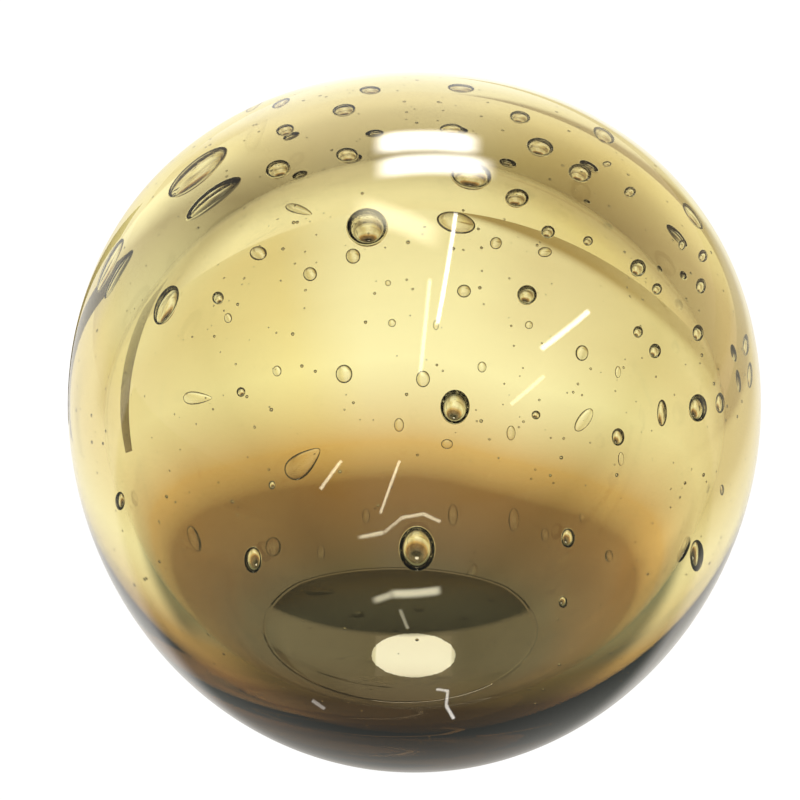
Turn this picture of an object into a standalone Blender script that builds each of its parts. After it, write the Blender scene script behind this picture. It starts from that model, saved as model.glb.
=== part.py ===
"""A hand-blown glass ball, sealed, standing on a small flat ground on its underside."""

import math

import bpy

# Driving sizes, in metres.
BALL_DIAMETER = 0.150
FOOT_DIAMETER = 0.020

# The blown outline, as shares of the ball's radius. The shoulders, 30 degrees up, are fuller than a true
# ball and the flanks 30 degrees down are leaner. The waist is drawn in a little against the two ends, and
# the corners midway between waist and ends are left full.
SHOULDER_FULLNESS = 0.0174
WAIST_PULL = 0.0111
CORNER_FULLNESS = 0.0048

# How finely the outline and the turn are divided.
OUTLINE_STEPS = 36
TURN_STEPS = 72

MERGE_DISTANCE = 0.00001
AMBER_SMOKE = (0.62, 0.47, 0.20, 1.0)
POLISH_ROUGHNESS = 0.02
GLASS_IOR = 1.52


def clear_scene():
    """Empties the file of its objects."""
    for item in list(bpy.data.objects):
        bpy.data.objects.remove(item, do_unlink=True)


def outline_point(latitude):
    """The outline's distance from the axis and its height above the middle, where its slope faces latitude."""
    radius = BALL_DIAMETER / 2
    reach = radius * (
        1
        + SHOULDER_FULLNESS * math.sin(3 * latitude)
        - WAIST_PULL * math.cos(2 * latitude)
        - CORNER_FULLNESS * math.cos(4 * latitude)
    )
    change = radius * (
        3 * SHOULDER_FULLNESS * math.cos(3 * latitude)
        + 2 * WAIST_PULL * math.sin(2 * latitude)
        + 4 * CORNER_FULLNESS * math.sin(4 * latitude)
    )
    across = reach * math.cos(latitude) - change * math.sin(latitude)
    up = reach * math.sin(latitude) + change * math.cos(latitude)
    return across, up


def foot_latitude():
    """The latitude, below the middle, where the outline is as wide as the ground foot."""
    low = -math.pi / 2
    high = 0.0
    while high - low > 1e-9:
        middle = (low + high) / 2
        if outline_point(middle)[0] < FOOT_DIAMETER / 2:
            low = middle
        else:
            high = middle
    return high


def ball_outline():
    """The turned outline from the crown down to the edge of the foot and in to the axis, standing on z = 0."""
    crown = math.pi / 2
    foot = foot_latitude()
    foot_height = outline_point(foot)[1]
    points = [(0.0, 0.0, outline_point(crown)[1] - foot_height)]
    for step in range(1, OUTLINE_STEPS + 1):
        latitude = crown + (foot - crown) * step / OUTLINE_STEPS
        across, up = outline_point(latitude)
        points.append((across, 0.0, up - foot_height))
    points.append((0.0, 0.0, 0.0))
    return points


def glass_material():
    """Clear glass tinted amber, with the smoke of its lower half averaged in."""
    material = bpy.data.materials.new("amber_smoke_glass")
    material.use_nodes = True
    shader = material.node_tree.nodes["Principled BSDF"]
    shader.inputs["Base Color"].default_value = AMBER_SMOKE
    shader.inputs["Roughness"].default_value = POLISH_ROUGHNESS
    shader.inputs["Metallic"].default_value = 0.0
    shader.inputs["IOR"].default_value = GLASS_IOR
    shader.inputs["Transmission Weight"].default_value = 1.0
    return material


def make_ball(collection):
    """The ball: its outline turned once round the upright axis."""
    points = ball_outline()
    edges = [(index, index + 1) for index in range(len(points) - 1)]
    mesh = bpy.data.meshes.new("glass_ball")
    mesh.from_pydata(points, edges, [])
    mesh.materials.append(glass_material())
    ball = bpy.data.objects.new("glass_ball", mesh)
    collection.objects.link(ball)
    turn = ball.modifiers.new("turn", "SCREW")
    turn.axis = "Z"
    turn.angle = 2 * math.pi
    turn.screw_offset = 0.0
    turn.steps = TURN_STEPS
    turn.render_steps = TURN_STEPS
    turn.use_merge_vertices = True
    turn.merge_threshold = MERGE_DISTANCE
    turn.use_smooth_shade = True
    return ball


def main():
    clear_scene()
    collection = bpy.data.collections.new("glass_ball")
    bpy.context.scene.collection.children.link(collection)
    make_ball(collection)


main()
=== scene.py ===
"""The looks of a hand-blown glass ball: a sealed hollow wall, cased in amber that shades to smoke at the
base, a darkening that is partly painted shadow, with air bubbles and seeds all through it, standing on a
small ground foot."""

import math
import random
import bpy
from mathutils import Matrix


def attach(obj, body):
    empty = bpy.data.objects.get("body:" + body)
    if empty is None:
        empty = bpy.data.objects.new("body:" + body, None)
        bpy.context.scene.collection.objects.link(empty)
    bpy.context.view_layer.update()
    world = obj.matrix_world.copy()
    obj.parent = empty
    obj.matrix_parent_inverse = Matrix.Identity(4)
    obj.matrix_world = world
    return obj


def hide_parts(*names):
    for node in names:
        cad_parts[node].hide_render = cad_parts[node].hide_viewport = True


bl_info = {
    "name": "Bubble Glass Ball",
    "version": (1, 0, 0),
    "blender": (4, 5, 0),
    "location": "3D View > Sidebar > Glass Ball",
    "description": "Blows a sealed glass ball full of air bubbles, cased in amber and smoke, and lights it",
    "category": "Add Mesh",
}

from collections import namedtuple

import bpy
from bpy.props import FloatProperty, FloatVectorProperty, IntProperty, PointerProperty
from mathutils import Matrix, Vector
from mathutils.interpolate import poly_3d_calc

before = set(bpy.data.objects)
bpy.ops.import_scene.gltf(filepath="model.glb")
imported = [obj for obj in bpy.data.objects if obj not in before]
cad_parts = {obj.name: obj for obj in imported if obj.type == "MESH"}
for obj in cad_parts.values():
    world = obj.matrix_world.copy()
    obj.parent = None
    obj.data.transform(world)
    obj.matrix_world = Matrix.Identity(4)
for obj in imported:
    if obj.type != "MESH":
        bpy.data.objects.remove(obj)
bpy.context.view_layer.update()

# The picture that the camera takes is square, with this many pixels a side. Its middle is at half of that.
PICTURE_SIDE = 800

# Where the ball's middle comes in the picture, and the half width of the ball there, in pixels.
BALL_ACROSS = 414.2
BALL_DOWN = 421.5
BALL_HALF_WIDTH = 351.0

# How much glass bends light, and what a ray meets on its way in and on its way out.
GLASS_INDEX = 1.5
AIR_TO_GLASS = 1 / GLASS_INDEX
GLASS_TO_AIR = GLASS_INDEX

# How finely the outlines are divided, and in how many steps they are turned round the axis.
OUTLINE_STEPS = 88
TURN_STEPS = 224
LIP_STEPS = 6

# How finely a large bubble, a small one and a seed are divided, round and from end to end. A large bubble is
# longer in the picture than this many pixels.
LARGE_BUBBLE = (28, 14)
SMALL_BUBBLE = (20, 10)
SEED = (8, 5)
LARGE_BUBBLE_LENGTH = 24

# How closely corners are merged, and how closely the turn of the foot's edge is worked out.
MERGE_DISTANCE = 0.000002
LATITUDE_TOLERANCE = 1e-9

# How far past a surface a ray starts, so that it doesn't meet that surface again.
RAY_START = 0.00001

# What belongs to the foot: what is lower than this, and its edge is farther from the axis than this.
FOOT_TOLERANCE = 0.00001
FOOT_MIDDLE = 0.001

# How the foot's edge wanders, inwards and outwards, as shares of its raggedness, and the draw of its chances.
FOOT_WANDER = (-1.0, 0.6)
FOOT_DRAW = 3

# Edges that turn more sharply than this stay sharp.
WALL_CREASE = math.radians(5)
HOLLOW_CREASE = math.radians(15)

# How high above the sealing pad's rim the glass moves with the pad, and how far round it the floor gives.
PAD_GRIP = 0.004
PAD_PULL = 0.015

# The pad's faces: not higher than this above its middle, and facing up at least by this share.
PAD_MARGIN = 0.0001
PAD_FACING = 0.9

# A round patch of painted shade in the far side of the sealing pad, where the pad shows dark.
PAINTED_SHADE_PATCH_MIDDLE = (-0.003, 0.045, 0.021)
PAINTED_SHADE_PATCH_RADIUS = 0.050
PAINTED_SHADE_PATCH_SOFTNESS = 0.001

# How the borders of the casing's colours drift: how far up and down, how often and how finely. The smoke's
# swell in the middle ends this far from it.
SMOKE_DRIFT = 0.005
DRIFT_SCALE = 18.0
DRIFT_DETAIL = 3.0
SWELL_REACH = 0.035

# The ball's materials come in this order after the casing.
CLEAR_GLASS = 1
GROUND_GLASS = 2
PAD_GLASS = 3

CLEAR = (1.0, 1.0, 1.0)
POLISHED = 0.0
GROUND_ROUGHNESS = 0.7
FLOOR_ROUGHNESS = 0.9

# How thick the bubbles are from the outside of the wall inwards, as a share of their narrower side.
FRONT_FLATNESS = 0.65
BACK_FLATNESS = 0.4

# How near the wall's two faces seeds lie, as a share of its thickness. The smallest seed is this share of the
# largest, and the rarity says how much fewer large ones there are than small ones.
SEED_MARGIN = 0.25
SMALLEST_SEED = 0.25
SEED_RARITY = 1.5
SEED_DRAW = 7

# An air bubble as it looks in the picture: its place, its width and height in pixels, and how far its width
# is turned up from level, in degrees. A drop is narrowed at its right end by this share. A deep one lies this
# share of the side wall nearer the hollow than the others.
Bubble = namedtuple("Bubble", "across down wide tall turn drop deep", defaults=(0, 0, 0))

FRONT_BUBBLES = (
    # The crown, above the two long highlights.
    Bubble(across=370, down=90, wide=22, tall=8),
    Bubble(across=344, down=110, wide=24, tall=12, turn=8),
    Bubble(across=281, down=103, wide=20, tall=6, turn=25),
    Bubble(across=285, down=130, wide=19, tall=11, turn=15),
    Bubble(across=461, down=88, wide=27, tall=8, turn=-5),
    Bubble(across=451, down=129, wide=23, tall=11),
    Bubble(across=520, down=117, wide=21, tall=12, turn=-10),
    Bubble(across=540, down=147, wide=28, tall=18, turn=-15),
    Bubble(across=347, down=155, wide=23, tall=15),
    Bubble(across=278, down=169, wide=26, tall=18, turn=15),
    # The left shoulder.
    Bubble(across=197, down=171, wide=75, tall=20, turn=38, deep=0.15),
    Bubble(across=109, down=265, wide=60, tall=9, turn=62, deep=0.2),
    Bubble(across=166, down=305, wide=43, tall=20, turn=64),
    Bubble(across=218, down=298, wide=12, tall=13),
    Bubble(across=241, down=392, wide=9, tall=10),
    Bubble(across=120, down=501, wide=10, tall=19),
    # The middle.
    Bubble(across=367, down=227, wide=42, tall=38),
    Bubble(across=471, down=175, wide=42, tall=28, turn=-10),
    Bubble(across=517, down=198, wide=24, tall=19),
    Bubble(across=548, down=232, wide=14, tall=13),
    Bubble(across=588, down=241, wide=10, tall=10),
    Bubble(across=527, down=295, wide=20, tall=20),
    Bubble(across=455, down=407, wide=30, tall=35),
    Bubble(across=536, down=415, wide=9, tall=9),
    # The right shoulder.
    Bubble(across=604, down=135, wide=25, tall=11, turn=-35),
    Bubble(across=580, down=173, wide=24, tall=18, turn=-20),
    Bubble(across=607, down=164, wide=9, tall=6),
    Bubble(across=630, down=192, wide=12, tall=11),
    Bubble(across=693, down=216, wide=33, tall=8, turn=-55),
    Bubble(across=638, down=268, wide=16, tall=18),
    Bubble(across=682, down=245, wide=7, tall=11),
    Bubble(across=703, down=256, wide=9, tall=13),
    Bubble(across=657, down=289, wide=10, tall=12),
    Bubble(across=701, down=286, wide=10, tall=16),
    Bubble(across=638, down=332, wide=10, tall=12),
    Bubble(across=698, down=333, wide=11, tall=17),
    Bubble(across=655, down=351, wide=12, tall=15),
    Bubble(across=618, down=437, wide=13, tall=18),
    Bubble(across=662, down=413, wide=10, tall=27),
    Bubble(across=698, down=408, wide=18, tall=28),
    Bubble(across=720, down=403, wide=9, tall=21),
    Bubble(across=722, down=490, wide=4, tall=11),
    Bubble(across=746, down=345, wide=6, tall=22),
    Bubble(across=750, down=375, wide=5, tall=26),
    # The belly, below the middle.
    Bubble(across=417, down=549, wide=37, tall=46),
    Bubble(across=253, down=560, wide=18, tall=27),
    Bubble(across=568, down=538, wide=14, tall=20),
    Bubble(across=563, down=602, wide=9, tall=12),
    Bubble(across=697, down=556, wide=13, tall=33),
    Bubble(across=272, down=485, wide=7, tall=9),
)

BACK_BUBBLES = (
    # The upper half.
    Bubble(across=258, down=253, wide=18, tall=14),
    Bubble(across=310, down=274, wide=14, tall=14),
    Bubble(across=353, down=256, wide=15, tall=15),
    Bubble(across=298, down=209, wide=30, tall=12, turn=-20, drop=0.5),
    Bubble(across=456, down=222, wide=40, tall=20, turn=-15),
    Bubble(across=464, down=291, wide=14, tall=13),
    Bubble(across=496, down=243, wide=12, tall=12),
    Bubble(across=545, down=252, wide=14, tall=10),
    Bubble(across=388, down=283, wide=6, tall=6),
    Bubble(across=392, down=323, wide=8, tall=8),
    Bubble(across=436, down=325, wide=6, tall=10),
    Bubble(across=529, down=325, wide=8, tall=8),
    Bubble(across=228, down=318, wide=8, tall=10),
    # The lower half.
    Bubble(across=344, down=374, wide=17, tall=19),
    Bubble(across=277, down=371, wide=9, tall=11),
    Bubble(across=197, down=398, wide=30, tall=18, drop=0.6),
    Bubble(across=423, down=379, wide=14, tall=17),
    Bubble(across=482, down=367, wide=9, tall=11),
    Bubble(across=582, down=353, wide=13, tall=16),
    Bubble(across=618, down=372, wide=6, tall=12),
    Bubble(across=303, down=463, wide=44, tall=32, turn=40, drop=0.6),
    Bubble(across=399, down=425, wide=10, tall=14),
    Bubble(across=447, down=444, wide=12, tall=10),
    Bubble(across=511, down=433, wide=9, tall=15),
    Bubble(across=584, down=420, wide=27, tall=13, turn=55),
    Bubble(across=621, down=459, wide=6, tall=14),
    Bubble(across=366, down=516, wide=8, tall=15),
    Bubble(across=453, down=515, wide=10, tall=22),
    Bubble(across=514, down=520, wide=11, tall=24),
    Bubble(across=545, down=535, wide=8, tall=14),
    Bubble(across=474, down=573, wide=10, tall=18),
    Bubble(across=582, down=518, wide=5, tall=9),
    Bubble(across=194, down=539, wide=12, tall=28, turn=20),
    Bubble(across=273, down=547, wide=16, tall=20),
    Bubble(across=321, down=553, wide=8, tall=16),
    Bubble(across=609, down=556, wide=8, tall=12),
)


# The tint of the room round the ball, from its left to its right.
ROOM_TINTS = (
    (-1.0, (0.86, 0.82, 0.74)),
    (-0.62, (0.86, 0.82, 0.74)),
    (-0.40, (0.50, 0.44, 0.36)),
    (-0.26, (1.0, 0.98, 0.96)),
    (0.08, (1.0, 1.0, 1.0)),
    (0.24, (0.84, 0.77, 0.57)),
    (0.50, (0.56, 0.45, 0.34)),
)

# How bright the room is beside the ball, how much brighter behind it and dimmer in front, how much of that
# is left overhead, and how it glows at the horizon and above the band of light that lies on the horizon.
ROOM_BRIGHTNESS = 0.5
BRIGHTER_BEHIND = 0.35
OVERHEAD_SHARE = 0.25
HORIZON_GLOW = 1.45
HIGHER_GLOW = 1.2
HORIZON_BAND = 0.16

# The tint of the floor behind the ball, from its left to its right, by how far aside it is as a share of how
# far back it is.
FLOOR_TINTS = (
    (-0.75, (0.91, 0.89, 0.84)),
    (-0.36, (0.78, 0.73, 0.60)),
    (-0.20, (0.94, 0.88, 0.72)),
    (-0.08, (1.0, 0.98, 1.0)),
    (0.22, (0.97, 0.95, 0.96)),
    (0.43, (0.76, 0.73, 0.64)),
    (0.67, (0.88, 0.85, 0.78)),
)

# Where the floor's glow changes, in metres from the ball: each pair is where a change starts and where it is
# complete. The slants turn the borders of the right and the front part, and a spot nearer than the least
# distance is tinted as if it were there. The front part is a painted shadow of the ball on the floor close in
# front of it, which fades out again farther away.
LEAST_DISTANCE = 0.03
CENTRED = (0.06, 0.2)
FAR_BACK = (0.2, 0.36)
RIGHT = (0.12, 0.2)
RIGHT_SLANT = -0.18
FAR_RIGHT = (0.1, 0.27)
FRONT = (-0.02, -0.04)
FRONT_SHADOW_SLANT = -0.2
FRONT_SHADOW_END = (0.11, 0.2)

WHITE = (1.0, 0.97, 0.90)
PALE = (1.0, 0.93, 0.66)

# A light as the ball mirrors it: the ends of its middle line in the picture, the width of that line, its
# strength, and the share of its length over which its ends fade.
Light = namedtuple("Light", "name start end wide strength colour soft", defaults=(WHITE, 0.05))

LIGHTS = (
    Light(name="long_light", start=(369, 146), end=(486, 147), wide=27, strength=26, soft=0.25),
    Light(name="wide_light", start=(369, 171), end=(500, 171), wide=27, strength=26, soft=0.25),
    Light(name="slanted_light", start=(346, 206), end=(448, 243), wide=34, strength=9, colour=PALE, soft=0.3),
    Light(name="streak_light", start=(456, 211), end=(437, 326), wide=6, strength=26),
    Light(name="second_streak", start=(430, 277), end=(420, 376), wide=6, strength=12, colour=PALE),
    Light(name="slant_streak", start=(590, 310), end=(540, 350), wide=8, strength=18),
    Light(name="second_slant", start=(545, 375), end=(510, 405), wide=6, strength=8, colour=PALE),
    Light(name="small_streak", start=(400, 460), end=(380, 515), wide=4, strength=14, colour=PALE),
    Light(name="short_streak", start=(342, 460), end=(320, 490), wide=5, strength=14, colour=PALE),
    Light(
        name="bubble_glint_start",
        start=(356, 538),
        end=(386, 532),
        wide=6,
        strength=12,
        colour=PALE,
        soft=0.2,
    ),
    Light(name="bubble_glint_left", start=(384, 533), end=(403, 517), wide=5, strength=10, colour=PALE),
    Light(name="bubble_glint_top", start=(401, 518), end=(424, 514), wide=5, strength=12, colour=PALE),
    Light(name="bubble_glint_right", start=(422, 513), end=(441, 522), wide=5, strength=12, colour=PALE),
    Light(
        name="pad_light_left", start=(370, 602), end=(396, 593), wide=10, strength=10, colour=PALE, soft=0.3
    ),
    Light(
        name="pad_light_right", start=(388, 594), end=(443, 590), wide=12, strength=14, colour=PALE, soft=0.15
    ),
    Light(name="pad_streak", start=(400, 609), end=(408, 629), wide=5, strength=6, colour=PALE),
    Light(name="zigzag_top", start=(436, 689), end=(449, 691), wide=4, strength=8),
    Light(name="zigzag_middle", start=(448, 690), end=(446, 706), wide=4, strength=8),
    Light(name="zigzag_foot", start=(446, 705), end=(454, 719), wide=5, strength=8),
    Light(name="left_squiggle", start=(312, 700), end=(325, 709), wide=5, strength=3),
)

# A light comes at most this share of the way down to the floor.
LIGHT_CLEARANCE = 0.9

# How far a card fades in from its long sides, as a share of its width.
SIDE_FADE = 0.4

# How far the glowing floor and the pale one reach, and how high each of the thin layers on the floor lies.
GLOWING_FLOOR_REACH = 2.0
PALE_FLOOR_REACH = 6.0
FOOT_GLOW_LEVEL = -0.00005
CAUSTIC_LEVEL = -0.00007
SHEEN_LEVEL = -0.00008
GLOWING_FLOOR_LEVEL = -0.0001
PALE_FLOOR_LEVEL = -0.0003

# How often light is followed from surface to surface.
LIGHT_BOUNCES = 24

# How far below the floor and above it the walls reach.
WALL_SPAN = (-1.2, 2.4)


def on_floor(front, back, level):
    """The corners of a level card. Its front and back edges are each given by their ends and distance."""
    return [(across, away, level) for *ends, away in (front, back) for across in ends]


def floor_square(reach, level):
    """The corners of a level square round the axis."""
    return on_floor((-reach, reach, -reach), (-reach, reach, reach), level)


def wall_between(left, right):
    """The corners of an upright wall between two places on the floor."""
    return [(*end, height) for height in WALL_SPAN for end in (left, right)]


# A glowing card: its corners at the lower or front left and right and the upper or back left and right, its
# colour and strength, how softly its ends fade, and whether it shows through the glass and as a reflection.
CARD_FIELDS = "name corners colour strength soft seen_through mirrored"
Card = namedtuple("Card", CARD_FIELDS, defaults=(0.0, True, True))

CARDS = (
    # Walls that light what is seen through the ball from its back and from its left.
    Card(
        name="front_wall",
        corners=wall_between((-4.0, -2.0), (4.0, -2.0)),
        colour=(1.0, 0.98, 0.92),
        strength=0.8,
        soft=0.4,
        mirrored=False,
    ),
    Card(
        name="right_wall",
        corners=wall_between((2.1, -3.0), (2.1, 1.2)),
        colour=(1.0, 0.94, 0.76),
        strength=0.8,
        soft=0.4,
        mirrored=False,
    ),
    # Flags behind the ball on its left, which its thick wall shows as a crescent and a band.
    Card(
        name="dark_flag",
        corners=(
            (-0.0912, 0.0508, 0.044),
            (-0.0860, 0.0539, 0.044),
            (-0.0917, 0.0505, 0.112),
            (-0.0822, 0.0561, 0.12),
        ),
        colour=(0.9, 0.62, 0.25),
        strength=0.05,
    ),
    Card(
        name="dull_flag",
        corners=(
            (-0.317, 0.026, 0.05),
            (-0.182, 0.105, 0.05),
            (-0.317, 0.026, 0.17),
            (-0.167, 0.114, 0.15),
        ),
        colour=(0.80, 0.74, 0.52),
        strength=1.0,
        soft=0.25,
    ),
    # Light that the glass gathers on the floor.
    Card(
        name="right_caustic",
        corners=on_floor((0.0, 0.062, -0.045), (0.05, 0.13, 0.095), CAUSTIC_LEVEL),
        colour=WHITE,
        strength=1.4,
        soft=0.4,
        mirrored=False,
    ),
    Card(
        name="left_caustic",
        corners=on_floor((-0.10, 0.0, -0.05), (-0.06, 0.02, 0.05), CAUSTIC_LEVEL),
        colour=WHITE,
        strength=1.1,
        soft=0.4,
        mirrored=False,
    ),
    # The pale floor close round the foot, as the underside mirrors it and as the ground foot passes it on.
    Card(
        name="floor_sheen",
        corners=floor_square(0.078, SHEEN_LEVEL),
        colour=WHITE,
        strength=0.6,
        soft=0.4,
        seen_through=False,
    ),
    Card(
        name="foot_glow",
        corners=floor_square(0.009, FOOT_GLOW_LEVEL),
        colour=(1.0, 0.98, 1.0),
        strength=1.4,
    ),
)


class GlassBallSizes(bpy.types.PropertyGroup):
    """The sizes that the glass is blown and ground to."""

    ball_diameter: FloatProperty(
        name="Ball Diameter", description="How far across the ball is", default=0.150, unit="LENGTH"
    )
    shoulder_fullness: FloatProperty(
        name="Shoulder Fullness",
        description="How far the shoulders stand out, and the flanks below them in, as a share of the radius",
        default=0.0174,
        precision=4,
    )
    waist_pull: FloatProperty(
        name="Waist Pull",
        description="How far the waist is drawn in against the two ends, as a share of the radius",
        default=0.0111,
        precision=4,
    )
    corner_fullness: FloatProperty(
        name="Corner Fullness",
        description="How full the stretches midway between waist and ends are, as a share of the radius",
        default=0.0048,
        precision=4,
    )
    foot_diameter: FloatProperty(
        name="Foot Diameter", description="The flat ground on the underside", default=0.020, unit="LENGTH"
    )
    foot_raggedness: FloatProperty(
        name="Foot Raggedness",
        description="How far the foot's edge wanders in and out, as a share of its radius",
        default=0.025,
        subtype="FACTOR",
    )
    side_wall: FloatProperty(
        name="Side Wall",
        description="The thickness of the glass at the waist",
        default=0.01125,
        unit="LENGTH",
    )
    crown_wall: FloatProperty(
        name="Crown Wall", description="The thickness of the glass at the crown", default=0.018, unit="LENGTH"
    )
    hollow_sag: FloatProperty(
        name="Hollow Sag",
        description="How far the middle of the hollow is below the ball's middle",
        default=-0.0015,
        unit="LENGTH",
    )
    pad_diameter: FloatProperty(
        name="Pad Diameter",
        description="The pad of glass in the floor of the hollow, where the ball was sealed",
        default=0.065,
        unit="LENGTH",
    )
    pad_rim_height: FloatProperty(
        name="Pad Rim Height",
        description="How high the pad's rim is above the foot",
        default=0.0222,
        unit="LENGTH",
    )
    pad_rise: FloatProperty(
        name="Pad Rise",
        description="How far the pad's middle is above its rim",
        default=0.0007,
        unit="LENGTH",
    )
    pad_lip: FloatProperty(
        name="Pad Lip",
        description="The radius of the small bead round the pad's rim",
        default=0.0005,
        unit="LENGTH",
    )
    pad_offset: FloatVectorProperty(
        name="Pad Offset",
        description="How far the sealing pad ended up from the ball's axis",
        default=(-0.0033, -0.0026, 0.0),
        subtype="TRANSLATION",
    )
    bubble_depth: FloatProperty(
        name="Bubble Depth",
        description="How deep in the wall the middles of the bubbles lie, as a share of its thickness",
        default=0.68,
        subtype="FACTOR",
        min=0.2,
        max=0.8,
    )
    smoke_swell: FloatProperty(
        name="Smoke Swell",
        description="How much higher the smoke reaches at the ball's middle than at its sides",
        default=0.0024,
        unit="LENGTH",
    )
    smoke_lean: FloatProperty(
        name="Smoke Lean",
        description="How far the smoke reaches lower on the right than on the left, as a slope",
        default=0.05,
    )
    seeds: IntProperty(name="Seeds", description="How many seeds, the finest bubbles, there are", default=760)
    seed_diameter: FloatProperty(
        name="Seed Diameter",
        description="How far across the largest seeds are",
        default=0.0008,
        unit="LENGTH",
    )


class GlassBallColours(bpy.types.PropertyGroup):
    """The colours of the casing, from the crown down to the base."""

    crown: FloatVectorProperty(
        name="Crown", description="The glass at the top", default=(0.66, 0.53, 0.22), subtype="COLOR", size=3
    )
    gold: FloatVectorProperty(
        name="Gold", description="The glass at the waist", default=(0.84, 0.70, 0.30), subtype="COLOR", size=3
    )
    honey: FloatVectorProperty(
        name="Honey",
        description="The glass above the smoke",
        default=(1.0, 0.92, 0.44),
        subtype="COLOR",
        size=3,
    )
    # The amber, the tea and the colour round the foot are partly the glass's own tint and partly painted
    # shadow: the shade under the ball, as the base shows it.
    amber: FloatVectorProperty(
        name="Amber",
        description="The glass where the smoke begins",
        default=(0.46, 0.21, 0.034),
        subtype="COLOR",
        size=3,
    )
    tea: FloatVectorProperty(
        name="Tea",
        description="The glass halfway into the smoke",
        default=(0.070, 0.0215, 0.0026),
        subtype="COLOR",
        size=3,
    )
    smoke_and_shadow: FloatVectorProperty(
        name="Smoke",
        description="The glass round the foot",
        default=(0.018, 0.0122, 0.0056),
        subtype="COLOR",
        size=3,
    )
    # The pad colour is painted shade, put in the far side of the sealing pad where it shows dark.
    pad: FloatVectorProperty(
        name="Pad",
        description="The smoke caught in the sealing pad",
        default=(0.0056, 0.0040, 0.0012),
        subtype="COLOR",
        size=3,
    )
    ground: FloatVectorProperty(
        name="Ground Glass",
        description="The ground foot",
        default=(0.93, 0.90, 0.82),
        subtype="COLOR",
        size=3,
    )
    floor: FloatVectorProperty(
        name="Floor", description="The pale floor", default=(0.1, 0.1, 0.1), subtype="COLOR", size=3
    )


class GlassBallSurroundings(bpy.types.PropertyGroup):
    """The light of the surroundings, as the glass sees it."""

    strength: FloatProperty(
        name="Strength",
        description="How brightly the floor behind the ball glows",
        default=1.12,
    )
    far_back: FloatVectorProperty(
        name="Far Back",
        description="Straight behind the ball",
        default=(1.13, 1.16, 1.22),
        subtype="COLOR",
        soft_max=2.0,
    )
    right: FloatVectorProperty(
        name="Right", description="To the right of the ball", default=(0.72, 0.67, 0.54), subtype="COLOR"
    )
    far_right: FloatVectorProperty(
        name="Far Right",
        description="Far to the right of the ball",
        default=(0.45, 0.37, 0.24),
        subtype="COLOR",
    )
    # Front is painted shadow: the ball's shadow on the floor close in front of it, as the glass shows it. The
    # card that the glass mirrors keeps it all the way forward.
    front: FloatVectorProperty(
        name="Front", description="Close in front of the ball", default=(0.195, 0.208, 0.182), subtype="COLOR"
    )
    far_front: FloatVectorProperty(
        name="Far Front",
        description="Farther in front of the ball",
        default=(0.66, 0.63, 0.55),
        subtype="COLOR",
    )


class GlassBallView(bpy.types.PropertyGroup):
    """Where the camera stands."""

    elevation: FloatProperty(
        name="Elevation",
        description="How far the camera looks down on the ball",
        default=math.radians(30.5),
        subtype="ANGLE",
    )
    distance: FloatProperty(
        name="Distance", description="From the camera to the ball's middle", default=0.525, unit="LENGTH"
    )
    light_distance: FloatProperty(
        name="Light Distance",
        description="From the ball to the lights it mirrors",
        default=1.2,
        unit="LENGTH",
    )


def outline_point(sizes, latitude):
    """The outline's distance from the axis and height above the middle, where its slope faces latitude."""
    radius = sizes.ball_diameter / 2
    reach = radius * (
        1
        + sizes.shoulder_fullness * math.sin(3 * latitude)
        - sizes.waist_pull * math.cos(2 * latitude)
        - sizes.corner_fullness * math.cos(4 * latitude)
    )
    change = radius * (
        3 * sizes.shoulder_fullness * math.cos(3 * latitude)
        + 2 * sizes.waist_pull * math.sin(2 * latitude)
        + 4 * sizes.corner_fullness * math.sin(4 * latitude)
    )
    across = reach * math.cos(latitude) - change * math.sin(latitude)
    up = reach * math.sin(latitude) + change * math.cos(latitude)
    return across, up


def foot_latitude(sizes):
    """The latitude, below the middle, where the outline is as wide as the ground foot."""
    low = -math.pi / 2
    high = 0.0
    while high - low > LATITUDE_TOLERANCE:
        middle = (low + high) / 2
        if outline_point(sizes, middle)[0] < sizes.foot_diameter / 2:
            low = middle
        else:
            high = middle
    return high


def middle_height(sizes):
    """How high the ball's middle is above its foot."""
    return -outline_point(sizes, foot_latitude(sizes))[1]


def outer_outline(sizes, steps):
    """The ball's outline from the crown down to the edge of the foot and in to the axis."""
    crown = math.pi / 2
    foot = foot_latitude(sizes)
    middle = middle_height(sizes)
    points = []
    for step in range(steps + 1):
        across, up = outline_point(sizes, crown + (foot - crown) * step / steps)
        points.append((across, up + middle))
    points.append((0.0, 0.0))
    points[0] = (0.0, points[0][1])
    return points


def hollow_outline(sizes, steps):
    """The hollow's outline: a half ellipse above the waist, a deeper half ellipse below it down to the pad's
    rim, the small bead of the rim, and the pad's low dome."""
    radius = sizes.ball_diameter / 2 - sizes.side_wall
    middle = middle_height(sizes) - sizes.hollow_sag
    rise = middle_height(sizes) + outline_point(sizes, math.pi / 2)[1] - sizes.crown_wall - middle
    rim = sizes.pad_diameter / 2
    depth = (middle - sizes.pad_rim_height) / math.sqrt(1 - (rim / radius) ** 2)
    rim_turn = math.acos(rim / radius)
    points = []
    upper_steps = steps // 2
    lower_steps = steps // 3
    pad_steps = steps - upper_steps - lower_steps
    for step in range(upper_steps):
        turn = math.pi / 2 * (1 - step / upper_steps)
        points.append((radius * math.cos(turn), middle + rise * math.sin(turn)))
    for step in range(lower_steps + 1):
        turn = rim_turn * step / lower_steps
        points.append((radius * math.cos(turn), middle - depth * math.sin(turn)))
    lip = sizes.pad_lip
    for step in range(1, LIP_STEPS + 1):
        turn = math.pi * step / LIP_STEPS
        points.append((rim - lip * (1 - math.cos(turn)), sizes.pad_rim_height + lip * math.sin(turn)))
    inner = rim - 2 * lip
    for step in range(1, pad_steps + 1):
        share = 1 - step / pad_steps
        points.append((inner * share, sizes.pad_rim_height + sizes.pad_rise * (1 - share**2)))
    points[0] = (0.0, points[0][1])
    return points


def deselect_all():
    """Leaves object mode with nothing selected, so that the next operator acts on the new piece alone."""
    if bpy.context.object and bpy.context.object.mode != "OBJECT":
        bpy.ops.object.mode_set(mode="OBJECT")
    bpy.ops.object.select_all(action="DESELECT")


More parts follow.
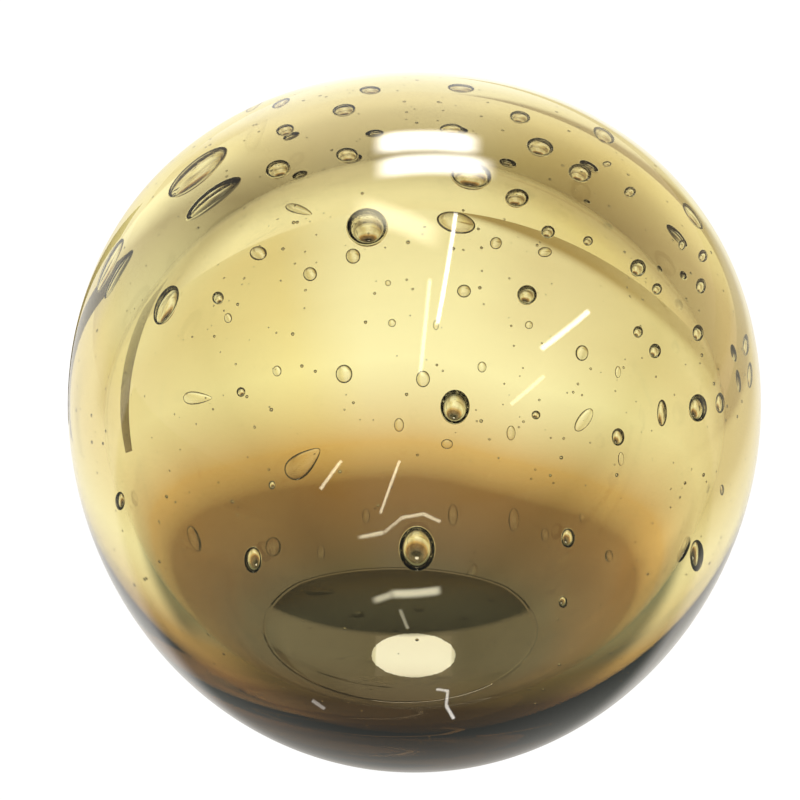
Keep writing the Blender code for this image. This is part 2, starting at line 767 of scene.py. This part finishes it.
def turned(name, outline, steps, inside):
    """A closed surface turned from an outline in the XZ plane, which is drawn by extruding one corner."""
    deselect_all()
    bpy.ops.mesh.primitive_plane_add(size=0.001, location=(0.0, 0.0, 0.0))
    piece = bpy.context.object
    piece.name = name
    piece.data.name = name
    bpy.ops.object.mode_set(mode="EDIT")
    bpy.ops.mesh.merge(type="CENTER")
    across, height = outline[0]
    bpy.ops.transform.translate(value=(across, 0.0, height))
    for next_across, next_height in outline[1:]:
        bpy.ops.mesh.extrude_vertices_move(
            TRANSFORM_OT_translate={"value": (next_across - across, 0.0, next_height - height)}
        )
        across = next_across
        height = next_height
    bpy.ops.mesh.select_all(action="SELECT")
    bpy.ops.mesh.spin(steps=steps, angle=2 * math.pi, center=(0.0, 0.0, 0.0), axis=(0.0, 0.0, 1.0))
    bpy.ops.mesh.select_all(action="SELECT")
    bpy.ops.mesh.remove_doubles(threshold=MERGE_DISTANCE)
    bpy.ops.mesh.normals_make_consistent(inside=inside)
    bpy.ops.mesh.faces_shade_smooth()
    bpy.ops.object.mode_set(mode="OBJECT")
    return piece


def ball_rays(view, sizes):
    """The camera's place, its forward, right and up directions, and its focal length in pixels."""
    middle = Vector((0.0, 0.0, middle_height(sizes)))
    back = Vector((0.0, -math.cos(view.elevation), math.sin(view.elevation)))
    place = middle + back * view.distance
    focal = BALL_HALF_WIDTH / math.tan(math.asin(sizes.ball_diameter / 2 / view.distance))
    right = Vector((1.0, 0.0, 0.0))
    up = right.cross(-back)
    pixel = view.distance / focal
    half = PICTURE_SIDE / 2
    aim = middle - right * (BALL_ACROSS - half) * pixel + up * (BALL_DOWN - half) * pixel
    forward = (aim - place).normalized()
    right = forward.cross(Vector((0.0, 0.0, 1.0))).normalized()
    return place, forward, right, right.cross(forward), focal


def smooth_normal(piece, face, place):
    """The shaded normal of a piece at a place on one of its faces."""
    corners = [piece.data.vertices[index] for index in piece.data.polygons[face].vertices]
    weights = poly_3d_calc([corner.co for corner in corners], place)
    return sum((corner.normal * weight for corner, weight in zip(corners, weights)), Vector()).normalized()


def bent(direction, normal, ratio):
    """The direction of a ray past a surface, where ratio is the index before it over the index behind it."""
    if normal.dot(direction) > 0:
        normal = -normal
    facing = -normal.dot(direction)
    inner = 1 - ratio**2 * (1 - facing**2)
    return (direction * ratio + normal * (ratio * facing - math.sqrt(max(inner, 0.0)))).normalized()


class Sightlines:
    """Follows what the camera sees at a place in the picture into the glass."""

    def __init__(self, sizes, view, wall, hollow):
        self.place, self.forward, self.right, self.up, self.focal = ball_rays(view, sizes)
        self.wall = wall
        self.hollow = hollow
        self.middle = Vector((0.0, 0.0, middle_height(sizes)))
        self.sizes = sizes

    def passed(self, piece, place, direction, ratio):
        """Where a ray meets a piece, and its direction past it, or None where it misses."""
        found, where, _, face = piece.ray_cast(place + direction * RAY_START, direction)
        if not found:
            return None
        return where, bent(direction, smooth_normal(piece, face, where), ratio)

    def aimed(self, across, down):
        """The direction of a pixel's ray from the camera."""
        half = PICTURE_SIDE / 2
        ahead = self.forward * self.focal
        aside = self.right * (across - half)
        below = self.up * (down - half)
        return (ahead + aside - below).normalized()

    def into_front(self, across, down):
        """The ray of a pixel in the front wall."""
        return self.passed(self.wall, self.place, self.aimed(across, down), AIR_TO_GLASS)

    def mirrored(self, across, down):
        """The ray of a pixel mirrored by the ball's outside."""
        direction = self.aimed(across, down)
        found, where, _, face = self.wall.ray_cast(self.place, direction)
        if not found:
            raise RuntimeError(f"no glass at {across}, {down}")
        normal = smooth_normal(self.wall, face, where)
        return where, direction - normal * 2 * normal.dot(direction)

    def into_back(self, across, down):
        """The ray of a pixel in the back wall, seen through the hollow."""
        ray = self.into_front(across, down)
        for ratio in (GLASS_TO_AIR, AIR_TO_GLASS):
            if ray is None:
                return None
            ray = self.passed(self.hollow, ray[0], ray[1], ratio)
        return ray

    def at_depth(self, ray, behind, deep):
        """Where a ray is at the bubbles' depth in the wall: on its way in, or on its way out if behind."""
        depth_radius = self.sizes.ball_diameter / 2 - self.sizes.side_wall * (self.sizes.bubble_depth + deep)
        place, direction = ray
        offset = place - self.middle
        along = -offset.dot(direction)
        reach = math.sqrt(max(depth_radius**2 - (offset.length_squared - along**2), 0.0))
        return place + direction * (along + reach if behind else along - reach)

    def spread(self, ray, middle):
        """The step from a bubble's middle across to the ray that grazes it."""
        place, direction = ray
        offset = place - middle
        return offset - direction * offset.dot(direction)

    def frame_of(self, bubble, behind):
        """A matrix that turns a ball of unit radius into the bubble, or None where a ray misses the glass."""
        follow = self.into_back if behind else self.into_front
        ray = follow(bubble.across, bubble.down)
        if ray is None:
            return None
        middle = self.at_depth(ray, behind, bubble.deep)
        turn = math.radians(bubble.turn)
        wide_ray = follow(
            bubble.across + bubble.wide / 2 * math.cos(turn), bubble.down - bubble.wide / 2 * math.sin(turn)
        )
        tall_ray = follow(
            bubble.across - bubble.tall / 2 * math.sin(turn), bubble.down - bubble.tall / 2 * math.cos(turn)
        )
        if wide_ray is None or tall_ray is None:
            return None
        wide = self.spread(wide_ray, middle)
        tall = self.spread(tall_ray, middle)
        flatness = BACK_FLATNESS if behind else FRONT_FLATNESS
        deep = wide.cross(tall).normalized() * min(wide.length, tall.length) * flatness
        columns = (wide, tall, deep)
        return Matrix.Translation(middle) @ Matrix([*zip(*columns)]).to_4x4()


def bubble_blank(segments, rings):
    """A ball of unit radius whose faces point into it, as the faces of a hollow in glass do."""
    deselect_all()
    bpy.ops.mesh.primitive_uv_sphere_add(segments=segments, ring_count=rings, radius=1.0)
    blank = bpy.context.object
    bpy.ops.object.mode_set(mode="EDIT")
    bpy.ops.mesh.flip_normals()
    bpy.ops.transform.rotate(value=math.pi / 2, orient_axis="Y", center_override=(0.0, 0.0, 0.0))
    bpy.ops.mesh.faces_shade_smooth()
    bpy.ops.object.mode_set(mode="OBJECT")
    return blank


def narrowed(piece, drop):
    """Narrows a unit ball towards its +X end into a drop."""
    for vertex in piece.data.vertices:
        share = 1 - drop * (vertex.co.x + 1) / 2
        vertex.co.y *= share
        vertex.co.z *= share


def placed_copy(blank, name, matrix, drop=0.0):
    """A copy of the blank with a mesh of its own, shaped and placed."""
    copy = blank.copy()
    copy.data = blank.data.copy()
    copy.name = name
    bpy.context.collection.objects.link(copy)
    if drop:
        narrowed(copy, drop)
    copy.data.transform(matrix)
    if matrix.determinant() < 0:
        copy.data.flip_normals()
    return copy


def joined(pieces, name):
    """Joins pieces into the first of them and names it."""
    deselect_all()
    for piece in pieces:
        piece.select_set(True)
    bpy.context.view_layer.objects.active = pieces[0]
    bpy.ops.object.join()
    pieces[0].name = name
    pieces[0].data.name = name
    return pieces[0]


def glass_shader(name, colour, roughness):
    """A glass that is see-through by the plain values on its shader."""
    material = bpy.data.materials.new(name)
    material.use_nodes = True
    shader = material.node_tree.nodes["Principled BSDF"]
    shader.inputs["Base Color"].default_value = (*colour, 1.0)
    shader.inputs["Roughness"].default_value = roughness
    shader.inputs["IOR"].default_value = GLASS_TO_AIR
    shader.inputs["Transmission Weight"].default_value = 1.0
    return material


def set_or_link(tree, socket, value):
    """Gives a socket a plain value, or links it to the output of another node."""
    if isinstance(value, bpy.types.NodeSocket):
        tree.links.new(value, socket)
    else:
        socket.default_value = value


def parts_of(tree, vector):
    """The X, Y and Z of a vector."""
    split = tree.nodes.new("ShaderNodeSeparateXYZ")
    tree.links.new(vector, split.inputs["Vector"])
    return [split.outputs[name] for name in "XYZ"]


def worked_out(tree, operation, *values):
    """The output of a math node for values that are numbers or outputs of other nodes."""
    node = tree.nodes.new("ShaderNodeMath")
    node.operation = operation
    for socket, value in zip(node.inputs, values):
        set_or_link(tree, socket, value)
    return node.outputs["Value"]


def mapped(tree, value, near, far, at_near=0.0, at_far=1.0, interpolation="SMOOTHSTEP"):
    """A value that goes from one number to another while the given value goes from near to far."""
    node = tree.nodes.new("ShaderNodeMapRange")
    node.interpolation_type = interpolation
    tree.links.new(value, node.inputs["Value"])
    for name, number in (("From Min", near), ("From Max", far), ("To Min", at_near), ("To Max", at_far)):
        node.inputs[name].default_value = number
    return node.outputs["Result"]


def blended(tree, share, first, second):
    """The colour between a first and a second one, each a tuple or the output of another node."""
    node = tree.nodes.new("ShaderNodeMix")
    node.data_type = "RGBA"
    tree.links.new(share, node.inputs["Factor"])
    of_colours = [socket for socket in node.inputs if socket.type == "RGBA"]
    for socket, colour in zip(of_colours, (first, second)):
        set_or_link(tree, socket, (*colour, 1.0) if isinstance(colour, tuple) else colour)
    return next(socket for socket in node.outputs if socket.type == "RGBA")


def ramped(tree, value, stops):
    """The colour at a value from 0 to 1, between stops that are each a position and a colour."""
    node = tree.nodes.new("ShaderNodeValToRGB")
    elements = node.color_ramp.elements
    while len(elements) < len(stops):
        elements.new(1.0)
    for element, (position, colour) in zip(elements, stops):
        element.position = position
        element.color = (*colour, 1.0)
    tree.links.new(value, node.inputs["Fac"])
    return node.outputs["Color"]


def tinted(tree, aside, tints):
    """The tint at a place from -1 at the left to 1 at the right."""
    stops = [((place + 1) / 2, tint) for place, tint in tints]
    return ramped(tree, worked_out(tree, "MULTIPLY_ADD", aside, 0.5, 0.5), stops)


def casing_glass(sizes, colours):
    """The outer casing: crown, honey, gold, amber, tea and smoke, one below the other, with borders that
    drift a little, lean, and swell in the middle. From amber down to the foot the colours are partly the
    glass's own tint and partly painted shadow, the shade under the ball as the base shows it."""
    material = glass_shader("amber_to_smoke_casing", colours.honey, POLISHED)
    tree = material.node_tree
    place = tree.nodes.new("ShaderNodeTexCoord").outputs["Object"]
    aside, _, height = parts_of(tree, place)
    drift = tree.nodes.new("ShaderNodeTexNoise")
    drift.inputs["Scale"].default_value = DRIFT_SCALE
    drift.inputs["Detail"].default_value = DRIFT_DETAIL
    tree.links.new(place, drift.inputs["Vector"])
    drifted = worked_out(tree, "MULTIPLY_ADD", drift.outputs["Fac"], SMOKE_DRIFT, height)
    leaning = worked_out(tree, "MULTIPLY_ADD", aside, sizes.smoke_lean, drifted)
    off_middle = worked_out(tree, "ABSOLUTE", aside)
    swell = mapped(tree, off_middle, 0.0, SWELL_REACH, sizes.smoke_swell, 0.0)
    level = worked_out(tree, "SUBTRACT", leaning, swell)
    lowest = SMOKE_DRIFT / 2
    share = mapped(tree, level, lowest, lowest + sizes.ball_diameter, interpolation="LINEAR")
    # The lowest stops, up to amber, hold painted shadow as well as the glass's own tint.
    stops = (
        (0.0, colours.smoke_and_shadow),
        (0.08, colours.smoke_and_shadow),
        (0.222, colours.tea),
        (0.285, colours.amber),
        (0.42, colours.honey),
        (0.53, colours.gold),
        (0.66, colours.gold),
        (0.76, colours.honey),
        (0.84, colours.honey),
        (0.95, colours.crown),
    )
    tree.links.new(ramped(tree, share, stops), tree.nodes["Principled BSDF"].inputs["Base Color"])
    return material


def pad_glass(colours):
    """The sealing pad: clear in front, with a round patch of painted shade in its far side, where the pad
    shows dark.
    """
    material = glass_shader("sealing_pad", colours.pad, POLISHED)
    tree = material.node_tree
    away = tree.nodes.new("ShaderNodeVectorMath")
    away.operation = "DISTANCE"
    away.inputs[1].default_value = PAINTED_SHADE_PATCH_MIDDLE
    tree.links.new(tree.nodes.new("ShaderNodeTexCoord").outputs["Object"], away.inputs[0])
    inner = PAINTED_SHADE_PATCH_RADIUS - PAINTED_SHADE_PATCH_SOFTNESS
    outer = PAINTED_SHADE_PATCH_RADIUS + PAINTED_SHADE_PATCH_SOFTNESS
    edge = mapped(tree, away.outputs["Value"], inner, outer, interpolation="LINEAR")
    glass = blended(tree, edge, tuple(colours.pad), CLEAR)
    tree.links.new(glass, tree.nodes["Principled BSDF"].inputs["Base Color"])
    return material


class GLASSBALL_OT_blow_wall(bpy.types.Operator):
    """Blow the outer wall of the ball, with its ground foot"""

    bl_idname = "glassball.blow_wall"
    bl_label = "Blow Wall"

    def execute(self, context):
        sizes = context.scene.glass_ball_sizes
        colours = context.scene.glass_ball_colours
        wall = turned("glass_ball_wall", outer_outline(sizes, OUTLINE_STEPS), TURN_STEPS, inside=False)
        wall.data.materials.append(casing_glass(sizes, colours))
        wall.data.materials.append(glass_shader("clear_glass", CLEAR, POLISHED))
        wall.data.materials.append(glass_shader("ground_glass", colours.ground, GROUND_ROUGHNESS))
        wall.data.materials.append(pad_glass(colours))
        for face in wall.data.polygons:
            if face.center.z < FOOT_TOLERANCE:
                face.material_index = GROUND_GLASS
        chance = random.Random(FOOT_DRAW)
        for vertex in wall.data.vertices:
            if vertex.co.z < FOOT_TOLERANCE and vertex.co.xy.length > FOOT_MIDDLE:
                vertex.co.xy *= 1 + sizes.foot_raggedness * chance.uniform(*FOOT_WANDER)
        deselect_all()
        wall.select_set(True)
        context.view_layer.objects.active = wall
        bpy.ops.object.shade_smooth_by_angle(angle=WALL_CREASE)
        return {"FINISHED"}


class GLASSBALL_OT_blow_hollow(bpy.types.Operator):
    """Blow the sealed hollow, with the sealing pad in its floor"""

    bl_idname = "glassball.blow_hollow"
    bl_label = "Blow Hollow"

    def execute(self, context):
        sizes = context.scene.glass_ball_sizes
        hollow = turned("hollow", hollow_outline(sizes, OUTLINE_STEPS), TURN_STEPS, inside=True)
        bpy.ops.object.shade_smooth_by_angle(angle=HOLLOW_CREASE)
        bpy.ops.object.mode_set(mode="EDIT")
        bpy.ops.mesh.select_all(action="DESELECT")
        bpy.ops.object.mode_set(mode="OBJECT")
        reach = sizes.pad_rim_height + PAD_GRIP
        for vertex in hollow.data.vertices:
            vertex.select = vertex.co.z < reach
        bpy.ops.object.mode_set(mode="EDIT")
        bpy.ops.transform.translate(
            value=sizes.pad_offset,
            use_proportional_edit=True,
            proportional_edit_falloff="SMOOTH",
            proportional_size=PAD_PULL,
        )
        bpy.ops.object.mode_set(mode="OBJECT")
        return {"FINISHED"}


class GLASSBALL_OT_trap_bubbles(bpy.types.Operator):
    """Trap the air bubbles in the wall, where the picture shows them"""

    bl_idname = "glassball.trap_bubbles"
    bl_label = "Trap Bubbles"

    def execute(self, context):
        scene = context.scene
        wall = bpy.data.objects["glass_ball_wall"]
        hollow = bpy.data.objects["hollow"]
        sight = Sightlines(scene.glass_ball_sizes, scene.glass_ball_view, wall, hollow)
        fine = bubble_blank(*LARGE_BUBBLE)
        plain = bubble_blank(*SMALL_BUBBLE)
        made = []
        for name, bubbles, behind in (
            ("front_bubble", FRONT_BUBBLES, False),
            ("back_bubble", BACK_BUBBLES, True),
        ):
            for bubble in bubbles:
                matrix = sight.frame_of(bubble, behind)
                if matrix is None:
                    raise RuntimeError(f"no glass behind {bubble}")
                blank = fine if max(bubble.wide, bubble.tall) > LARGE_BUBBLE_LENGTH else plain
                made.append(placed_copy(blank, name, matrix, bubble.drop))
        bpy.data.objects.remove(fine)
        bpy.data.objects.remove(plain)
        joined(made, "bubbles")
        return {"FINISHED"}


class GLASSBALL_OT_scatter_seeds(bpy.types.Operator):
    """Scatter the seeds, the finest bubbles, all through the wall"""

    bl_idname = "glassball.scatter_seeds"
    bl_label = "Scatter Seeds"

    def execute(self, context):
        sizes = context.scene.glass_ball_sizes
        chance = random.Random(SEED_DRAW)
        middle = Vector((0.0, 0.0, middle_height(sizes)))
        blank = bubble_blank(*SEED)
        made = []
        outer = sizes.ball_diameter / 2 - sizes.side_wall * SEED_MARGIN
        inner = sizes.ball_diameter / 2 - sizes.side_wall * (1 - SEED_MARGIN)
        for _ in range(sizes.seeds):
            way = Vector((chance.gauss(0, 1), chance.gauss(0, 1), chance.gauss(0, 1))).normalized()
            place = middle + way * chance.uniform(inner, outer)
            radius = sizes.seed_diameter / 2 * chance.uniform(SMALLEST_SEED, 1.0) ** SEED_RARITY
            matrix = Matrix.Translation(place) @ Matrix.Scale(radius, 4)
            made.append(placed_copy(blank, "seed", matrix))
        bpy.data.objects.remove(blank)
        joined(made, "seeds")
        return {"FINISHED"}


class GLASSBALL_OT_seal_ball(bpy.types.Operator):
    """Seal the hollow, the bubbles and the seeds in the glass, as one piece"""

    bl_idname = "glassball.seal_ball"
    bl_label = "Seal Ball"

    def execute(self, context):
        sizes = context.scene.glass_ball_sizes
        wall = bpy.data.objects["glass_ball_wall"]
        pad_top = sizes.pad_rim_height + sizes.pad_rise + PAD_MARGIN
        pieces = [wall]
        for name in ("hollow", "bubbles", "seeds"):
            void = bpy.data.objects[name]
            for material in wall.data.materials:
                void.data.materials.append(material)
            for face in void.data.polygons:
                on_pad = name == "hollow" and face.center.z < pad_top and face.normal.z > PAD_FACING
                face.material_index = PAD_GLASS if on_pad else CLEAR_GLASS
            pieces.append(void)
        ball = joined(pieces, "glass_ball_bubbled")
        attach(ball, "root")
        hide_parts("glass_ball")
        return {"FINISHED"}


def faded(tree, soft):
    """A value that is 1 in the middle of a card and fades to 0 at its edges: over the soft share of its
    length at the ends, and over most of its width at the sides."""
    along, across, _ = parts_of(tree, tree.nodes.new("ShaderNodeTexCoord").outputs["UV"])
    fades = []
    for place, margin in ((along, soft), (across, SIDE_FADE)):
        inward = worked_out(tree, "PINGPONG", place, 0.5)
        fades.append(mapped(tree, inward, 0.0, margin))
    return worked_out(tree, "MULTIPLY", *fades)


def flat_card(name, corners, colour, strength, soft=0.0):
    """A glowing card between four corners that the camera sees only in the glass."""
    deselect_all()
    bpy.ops.mesh.primitive_plane_add(size=1.0, location=(0.0, 0.0, 0.0))
    card = bpy.context.object
    card.name = name
    card.data.name = name
    for vertex, corner in zip(card.data.vertices, corners):
        vertex.co = corner
    paint = bpy.data.materials.new(name)
    paint.use_nodes = True
    tree = paint.node_tree
    tree.nodes.remove(tree.nodes["Principled BSDF"])
    glow = tree.nodes.new("ShaderNodeEmission")
    glow.inputs["Color"].default_value = (*colour, 1.0)
    glow.inputs["Strength"].default_value = strength
    surface = tree.nodes["Material Output"].inputs["Surface"]
    tree.links.new(glow.outputs["Emission"], surface)
    if soft:
        clear = tree.nodes.new("ShaderNodeBsdfTransparent")
        mix = tree.nodes.new("ShaderNodeMixShader")
        tree.links.new(faded(tree, soft), mix.inputs["Fac"])
        tree.links.new(clear.outputs["BSDF"], mix.inputs[1])
        tree.links.new(glow.outputs["Emission"], mix.inputs[2])
        tree.links.new(mix.outputs["Shader"], surface)
    card.data.materials.append(paint)
    card.visible_camera = False
    card.visible_diffuse = False
    card.visible_shadow = False
    return card


class GLASSBALL_OT_hang_lights(bpy.types.Operator):
    """Hang the lights where the ball mirrors them as the picture shows them"""

    bl_idname = "glassball.hang_lights"
    bl_label = "Hang Lights"

    def execute(self, context):
        scene = context.scene
        ball = bpy.data.objects["glass_ball_bubbled"]
        sight = Sightlines(scene.glass_ball_sizes, scene.glass_ball_view, ball, ball)
        for light in LIGHTS:
            along = (Vector(light.end) - Vector(light.start)).normalized()
            aside = Vector((-along.y, along.x)) * light.wide / 2
            corners = []
            for end, side in ((light.start, 1), (light.end, 1), (light.start, -1), (light.end, -1)):
                place, direction = sight.mirrored(end[0] + aside.x * side, end[1] + aside.y * side)
                distance = scene.glass_ball_view.light_distance
                if direction.z < 0:
                    distance = min(distance, LIGHT_CLEARANCE * place.z / -direction.z)
                corners.append(place + direction * distance)
            card = flat_card(light.name, corners, light.colour, light.strength, light.soft)
            card.visible_transmission = False
        return {"FINISHED"}


def glow_of_surroundings(tree, surroundings, far_front):
    """The glow of a card that the glass sees in place of the floor: white behind the ball, warm and dimmer at
    the sides, and darkened close in front of it by a painted shadow of the ball."""
    aside, away, _ = parts_of(tree, tree.nodes.new("ShaderNodeTexCoord").outputs["Object"])
    off_middle = worked_out(tree, "ABSOLUTE", aside)
    bearing = worked_out(tree, "DIVIDE", aside, worked_out(tree, "MAXIMUM", away, LEAST_DISTANCE))
    centred = mapped(tree, worked_out(tree, "ABSOLUTE", bearing), *CENTRED, 1.0, 0.0)
    far_back = worked_out(tree, "MULTIPLY", centred, mapped(tree, away, *FAR_BACK))
    right = mapped(tree, worked_out(tree, "MULTIPLY_ADD", away, RIGHT_SLANT, aside), *RIGHT)
    far_right = mapped(tree, worked_out(tree, "MULTIPLY", aside, away), *FAR_RIGHT)
    # The front share marks the painted shadow of the ball on the floor in front of it.
    front = mapped(tree, worked_out(tree, "MULTIPLY_ADD", off_middle, FRONT_SHADOW_SLANT, away), *FRONT)
    off_foot = worked_out(tree, "MAXIMUM", worked_out(tree, "MULTIPLY", away, -1.0), off_middle)
    colour = tinted(tree, bearing, FLOOR_TINTS)
    for share, there in (
        (far_back, surroundings.far_back),
        (right, surroundings.right),
        (far_right, surroundings.far_right),
        (front, surroundings.front),
        (worked_out(tree, "MULTIPLY", front, mapped(tree, off_foot, *FRONT_SHADOW_END)), far_front),
    ):
        colour = blended(tree, share, colour, tuple(there))
    return colour


class GLASSBALL_OT_lay_cards(bpy.types.Operator):
    """Lay the cards that the ball mirrors and that are seen through it"""

    bl_idname = "glassball.lay_cards"
    bl_label = "Lay Cards"

    def execute(self, context):
        surroundings = context.scene.glass_ball_surroundings
        for name, far_front, seen_through in (
            ("surroundings_seen_through", surroundings.far_front, True),
            ("surroundings_mirrored", surroundings.front, False),
        ):
            corners = floor_square(GLOWING_FLOOR_REACH, GLOWING_FLOOR_LEVEL)
            floor = flat_card(name, corners, WHITE, surroundings.strength)
            floor.visible_transmission = seen_through
            floor.visible_glossy = not seen_through
            tree = floor.active_material.node_tree
            glow = glow_of_surroundings(tree, surroundings, far_front)
            tree.links.new(glow, tree.nodes["Emission"].inputs["Color"])
        for card in CARDS:
            made = flat_card(card.name, card.corners, card.colour, card.strength, card.soft)
            made.visible_transmission = card.seen_through
            made.visible_glossy = card.mirrored
        return {"FINISHED"}


def room_light():
    """A soft light from all round that is brightest behind the ball and near the floor."""
    world = bpy.data.worlds.new("studio")
    world.use_nodes = True
    tree = world.node_tree
    aside, away, up = parts_of(tree, tree.nodes.new("ShaderNodeTexCoord").outputs["Generated"])
    behind = worked_out(tree, "MULTIPLY_ADD", away, BRIGHTER_BEHIND, ROOM_BRIGHTNESS)
    overhead = mapped(tree, up, 0.0, 1.0, 1.0, OVERHEAD_SHARE)
    low = mapped(tree, up, 0.0, HORIZON_BAND, HORIZON_GLOW, HIGHER_GLOW)
    background = tree.nodes["Background"]
    tree.links.new(tinted(tree, aside, ROOM_TINTS), background.inputs["Color"])
    strength = worked_out(tree, "MULTIPLY", behind, worked_out(tree, "MULTIPLY", overhead, low))
    tree.links.new(strength, background.inputs["Strength"])
    return world


class GLASSBALL_OT_set_stage(bpy.types.Operator):
    """Set the pale floor, the soft light and the camera"""

    bl_idname = "glassball.set_stage"
    bl_label = "Set Stage"

    def execute(self, context):
        scene = context.scene
        sizes = scene.glass_ball_sizes
        view = scene.glass_ball_view
        deselect_all()
        bpy.ops.mesh.primitive_plane_add(size=2 * PALE_FLOOR_REACH, location=(0.0, 0.0, PALE_FLOOR_LEVEL))
        floor = context.object
        floor.name = "floor"
        floor.visible_transmission = False
        floor.visible_glossy = False
        paint = bpy.data.materials.new("pale_floor")
        paint.use_nodes = True
        shader = paint.node_tree.nodes["Principled BSDF"]
        shader.inputs["Base Color"].default_value = (*scene.glass_ball_colours.floor, 1.0)
        shader.inputs["Roughness"].default_value = FLOOR_ROUGHNESS
        shader.inputs["Emission Color"].default_value = (*CLEAR, 1.0)
        shader.inputs["Emission Strength"].default_value = 1.0
        floor.data.materials.append(paint)
        scene.world = room_light()
        place, forward, _, _, focal = ball_rays(view, sizes)
        bpy.ops.object.camera_add(location=place)
        camera = context.object
        camera.rotation_euler = forward.to_track_quat("-Z", "Y").to_euler()
        camera.data.lens = camera.data.sensor_width * focal / PICTURE_SIDE
        scene.camera = camera
        scene.view_settings.view_transform = "Standard"
        scene.cycles.max_bounces = LIGHT_BOUNCES
        scene.cycles.transmission_bounces = LIGHT_BOUNCES
        return {"FINISHED"}


class GLASSBALL_PT_panel(bpy.types.Panel):
    """The glass ball's sizes, colours and steps"""

    bl_label = "Glass Ball"
    bl_idname = "GLASSBALL_PT_panel"
    bl_space_type = "VIEW_3D"
    bl_region_type = "UI"
    bl_category = "Glass Ball"

    def draw(self, context):
        for group in (
            context.scene.glass_ball_sizes,
            context.scene.glass_ball_colours,
            context.scene.glass_ball_surroundings,
            context.scene.glass_ball_view,
        ):
            box = self.layout.box()
            for name in group.__annotations__:
                box.prop(group, name)
        for operator in OPERATORS:
            self.layout.operator(operator.bl_idname)


OPERATORS = (
    GLASSBALL_OT_blow_wall,
    GLASSBALL_OT_blow_hollow,
    GLASSBALL_OT_trap_bubbles,
    GLASSBALL_OT_scatter_seeds,
    GLASSBALL_OT_seal_ball,
    GLASSBALL_OT_hang_lights,
    GLASSBALL_OT_lay_cards,
    GLASSBALL_OT_set_stage,
)
CLASSES = (
    GlassBallSizes,
    GlassBallColours,
    GlassBallSurroundings,
    GlassBallView,
    *OPERATORS,
    GLASSBALL_PT_panel,
)


def register():
    for item in CLASSES:
        bpy.utils.register_class(item)
    bpy.types.Scene.glass_ball_sizes = PointerProperty(type=GlassBallSizes)
    bpy.types.Scene.glass_ball_colours = PointerProperty(type=GlassBallColours)
    bpy.types.Scene.glass_ball_surroundings = PointerProperty(type=GlassBallSurroundings)
    bpy.types.Scene.glass_ball_view = PointerProperty(type=GlassBallView)


def unregister():
    del bpy.types.Scene.glass_ball_view
    del bpy.types.Scene.glass_ball_surroundings
    del bpy.types.Scene.glass_ball_colours
    del bpy.types.Scene.glass_ball_sizes
    for item in reversed(CLASSES):
        bpy.utils.unregister_class(item)


def main():
    """Makes the ball and its stage."""
    register()
    bpy.ops.glassball.blow_wall()
    bpy.ops.glassball.blow_hollow()
    bpy.ops.glassball.trap_bubbles()
    bpy.ops.glassball.scatter_seeds()
    bpy.ops.glassball.seal_ball()
    bpy.ops.glassball.hang_lights()
    bpy.ops.glassball.lay_cards()
    bpy.ops.glassball.set_stage()


if __name__ == "__main__":
    main()
